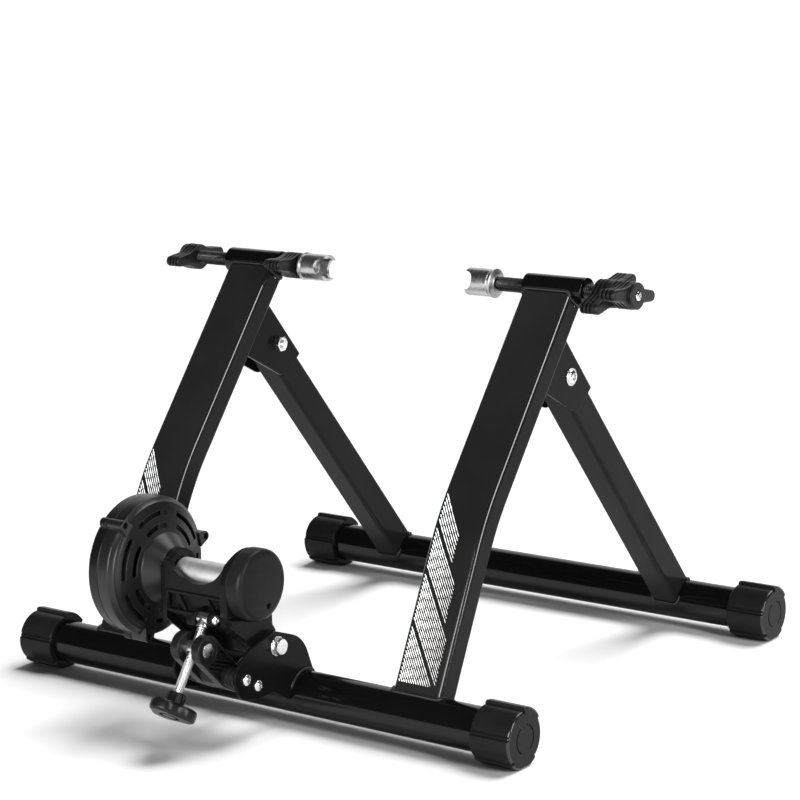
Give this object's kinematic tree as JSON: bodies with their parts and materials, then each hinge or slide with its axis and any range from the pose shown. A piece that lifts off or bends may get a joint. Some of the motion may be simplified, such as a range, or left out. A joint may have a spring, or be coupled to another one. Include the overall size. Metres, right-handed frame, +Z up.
{
  "type": "bicycle trainer stand",
  "caption": "Folding tubular stand that clamps a bicycle's rear axle in threaded cups and presses its tyre on a magnetically braked roller with a height adjuster and levelling feet",
  "frame": {"origin": "centre of the bounding box in plan, on the floor plane under the feet", "axes": "+X to the rider's right, +Y forward along the bicycle, +Z up"},
  "size_m": [0.545, 0.5998, 0.3684],
  "materials": {
    "frame_paint": "gloss",
    "black_plastic": "satin",
    "cap_plastic": "matt",
    "steel": "satin",
    "dark_steel": "satin",
    "roller_metal": "satin",
    "disc_metal": "satin"
  },
  "bodies": {
    "rear_frame": {"rear_base_tube": "frame_paint", "upright_left": "frame_paint", "upright_right": "frame_paint", "clamp_sleeve_left": "frame_paint", "clamp_sleeve_right": "frame_paint", "hinge_bracket_left": "frame_paint", "hinge_bracket_right": "frame_paint", "unit_plate_left": "frame_paint", "unit_plate_right": "frame_paint", "adjuster_lever": "black_plastic", "lever_bolt_front": "steel", "lever_bolt_rear": "steel", "lever_nut_front": "steel", "lever_nut_rear": "steel", "unit_pivot_bolt": "steel", "unit_pivot_nut": "steel", "fold_bolt_left": "steel", "fold_bolt_right": "steel", "fold_nut_left": "steel", "fold_nut_right": "steel"},
    "front_frame": {"front_base_tube": "frame_paint", "leg_left": "frame_paint", "leg_right": "frame_paint"},
    "cap_rear_left": {"end_cap_rear_left": "cap_plastic"},
    "cap_rear_right": {"end_cap_rear_right": "cap_plastic"},
    "cap_front_left": {"end_cap_front_left": "cap_plastic"},
    "cap_front_right": {"end_cap_front_right": "cap_plastic"},
    "cup_right_body": {"cup_right": "steel"},
    "spindle_right_body": {"spindle_right": "dark_steel", "end_knob_right": "black_plastic", "knob_screw_right": "steel"},
    "lock_right_body": {"lock_knob_right": "black_plastic"},
    "cup_left_body": {"cup_left": "steel"},
    "spindle_left_body": {"spindle_left": "dark_steel", "end_knob_left": "black_plastic", "knob_screw_left": "steel"},
    "lock_left_body": {"lock_knob_left": "black_plastic"},
    "resistance_unit": {"unit_body": "black_plastic", "bearing_left": "steel", "bearing_right": "steel", "housing_front_cover": "black_plastic", "housing_rear_cover": "black_plastic", "housing_screw_1": "steel", "housing_screw_2": "steel", "housing_screw_3": "steel", "magnet_ring": "steel", "flywheel_cover": "black_plastic", "yoke_pin": "steel"},
    "rotor": {"roller": "roller_metal", "roller_shaft": "steel", "flywheel": "steel", "flywheel_nut": "steel", "brake_disc": "disc_metal"},
    "yoke_body": {"yoke": "steel"},
    "adjuster": {"adjuster_screw": "steel", "adjuster_knob": "black_plastic"},
    "trunnion_body": {"trunnion": "steel"}
  },
  "joints": [
    {"name": "front_fold", "type": "hinge", "parent": "rear_frame", "child": "front_frame", "pos_m": [0, 0.06619, 0.2777], "axis": [-1, 0, 0], "range_deg": [0, 70]},
    {"name": "cap_rear_left_turn", "type": "hinge", "parent": "rear_frame", "child": "cap_rear_left", "pos_m": [0, -0.14731, 0.0249], "axis": [1, 0, 0], "continuous": true},
    {"name": "cap_rear_right_turn", "type": "hinge", "parent": "rear_frame", "child": "cap_rear_right", "pos_m": [0, -0.14731, 0.0249], "axis": [1, 0, 0], "continuous": true},
    {"name": "cap_front_left_turn", "type": "hinge", "parent": "front_frame", "child": "cap_front_left", "pos_m": [0, 0.27509, 0.0249], "axis": [1, 0, 0], "continuous": true},
    {"name": "cap_front_right_turn", "type": "hinge", "parent": "front_frame", "child": "cap_front_right", "pos_m": [0, 0.27509, 0.0249], "axis": [1, 0, 0], "continuous": true},
    {"name": "clamp_right_travel", "type": "slide", "parent": "rear_frame", "child": "cup_right_body", "axis": [1, 0, 0], "range_m": [-0.011, 0.02]},
    {"name": "end_knob_right_turn", "type": "hinge", "parent": "cup_right_body", "child": "spindle_right_body", "pos_m": [0, 0.06569, 0.3545], "axis": [1, 0, 0], "range_deg": [-1985, 3605]},
    {"name": "lock_knob_right_turn", "type": "hinge", "parent": "spindle_right_body", "child": "lock_right_body", "pos_m": [0, 0.06569, 0.3545], "axis": [1, 0, 0], "continuous": true},
    {"name": "clamp_left_travel", "type": "slide", "parent": "rear_frame", "child": "cup_left_body", "axis": [1, 0, 0], "range_m": [-0.0035, 0.028]},
    {"name": "end_knob_left_turn", "type": "hinge", "parent": "cup_left_body", "child": "spindle_left_body", "pos_m": [0, 0.06569, 0.3545], "axis": [1, 0, 0], "range_deg": [-635, 5045]},
    {"name": "lock_knob_left_turn", "type": "hinge", "parent": "spindle_left_body", "child": "lock_left_body", "pos_m": [0, 0.06569, 0.3545], "axis": [1, 0, 0], "continuous": true},
    {"name": "unit_tilt", "type": "hinge", "parent": "rear_frame", "child": "resistance_unit", "pos_m": [0, -0.18261, 0.0749], "axis": [1, 0, 0], "range_deg": [-7, 5]},
    {"name": "roller_spin", "type": "hinge", "parent": "resistance_unit", "child": "rotor", "pos_m": [0, -0.20031, 0.132], "axis": [1, 0, 0], "continuous": true},
    {"name": "yoke_swing", "type": "hinge", "parent": "resistance_unit", "child": "yoke_body", "pos_m": [0.01, -0.23181, 0.106], "axis": [1, 0, 0], "range_deg": [-6, 8]},
    {"name": "adjuster_turn", "type": "hinge", "parent": "yoke_body", "child": "adjuster", "pos_m": [0.01, -0.23181, 0.106], "axis": [0, -0.5717, -0.8205], "range_deg": [-2040, 1455]},
    {"name": "trunnion_swing", "type": "hinge", "parent": "rear_frame", "child": "trunnion_body", "pos_m": [0.01, -0.24721, 0.0839], "axis": [1, 0, 0], "range_deg": [-0.6, 0.8]}
  ],
  "couplings": [
    {"joint": "end_knob_right_turn", "follows": "clamp_right_travel", "rad_per_m": 3141.6},
    {"joint": "end_knob_left_turn", "follows": "clamp_left_travel", "rad_per_m": 3141.6},
    {"joint": "unit_tilt", "follows": "adjuster_turn", "ratio": 0.0034247},
    {"joint": "yoke_swing", "follows": "adjuster_turn", "ratio": -0.0036301},
    {"joint": "trunnion_swing", "follows": "adjuster_turn", "ratio": -0.00020548}
  ]
}
